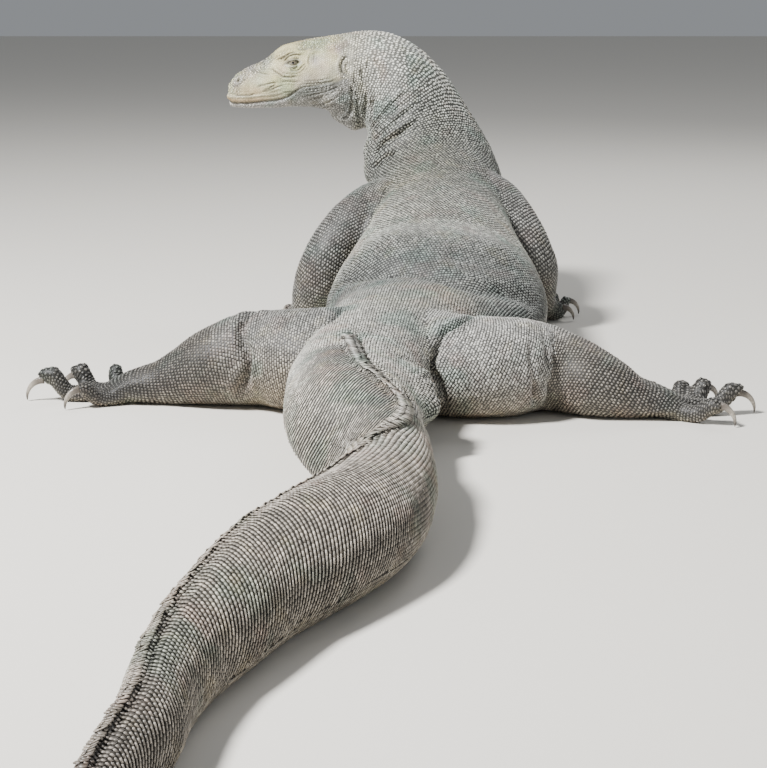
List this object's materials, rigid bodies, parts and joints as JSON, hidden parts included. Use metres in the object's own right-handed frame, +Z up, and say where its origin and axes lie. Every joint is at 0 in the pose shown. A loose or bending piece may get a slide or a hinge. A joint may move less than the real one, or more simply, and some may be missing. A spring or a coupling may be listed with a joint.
{
  "type": "komodo dragon",
  "caption": "Life-size komodo dragon lying on its belly with legs spread, head raised and turned to its left, tail curving back.",
  "frame": {"origin": "centre of the footprint's bounding rectangle, at the floor that the animal lies on", "axes": "+Y along the trunk from the hips towards the shoulders, +X to the animal's right, +Z up; the head looks towards -X and the tail runs back towards -Y"},
  "size_m": [0.9248, 2.182, 0.4477],
  "materials": {
    "skin": "dry, finely beaded grey-brown scales",
    "claw_horn": "satin dark horn",
    "eye": "wet and glossy"
  },
  "bodies": {
    "root": {"claw_fore_left_1": "claw_horn", "claw_fore_left_2": "claw_horn", "claw_fore_left_3": "claw_horn", "claw_fore_left_4": "claw_horn", "claw_fore_left_5": "claw_horn", "claw_fore_right_1": "claw_horn", "claw_fore_right_2": "claw_horn", "claw_fore_right_3": "claw_horn", "claw_fore_right_4": "claw_horn", "claw_fore_right_5": "claw_horn", "claw_hind_left_1": "claw_horn", "claw_hind_left_2": "claw_horn", "claw_hind_left_3": "claw_horn", "claw_hind_left_4": "claw_horn", "claw_hind_left_5": "claw_horn", "claw_hind_right_1": "claw_horn", "claw_hind_right_2": "claw_horn", "claw_hind_right_3": "claw_horn", "claw_hind_right_4": "claw_horn", "claw_hind_right_5": "claw_horn", "eye_left": "eye", "eye_right": "eye", "forearm_left": "skin", "forearm_right": "skin", "forefoot_left": "skin", "forefoot_right": "skin", "head": "skin", "hind_foot_left": "skin", "hind_foot_right": "skin", "loin": "skin", "lower_jaw": "skin", "neck_lower": "skin", "neck_upper": "skin", "pelvis": "skin", "ribcage": "skin", "shank_left": "skin", "shank_right": "skin", "shoulders": "skin", "tail_1_base": "skin", "tail_2": "skin", "tail_3": "skin", "tail_4": "skin", "tail_5": "skin", "tail_6_tip": "skin", "thigh_left": "skin", "thigh_right": "skin", "upper_arm_left": "skin", "upper_arm_right": "skin"}
  },
  "joints": []
}
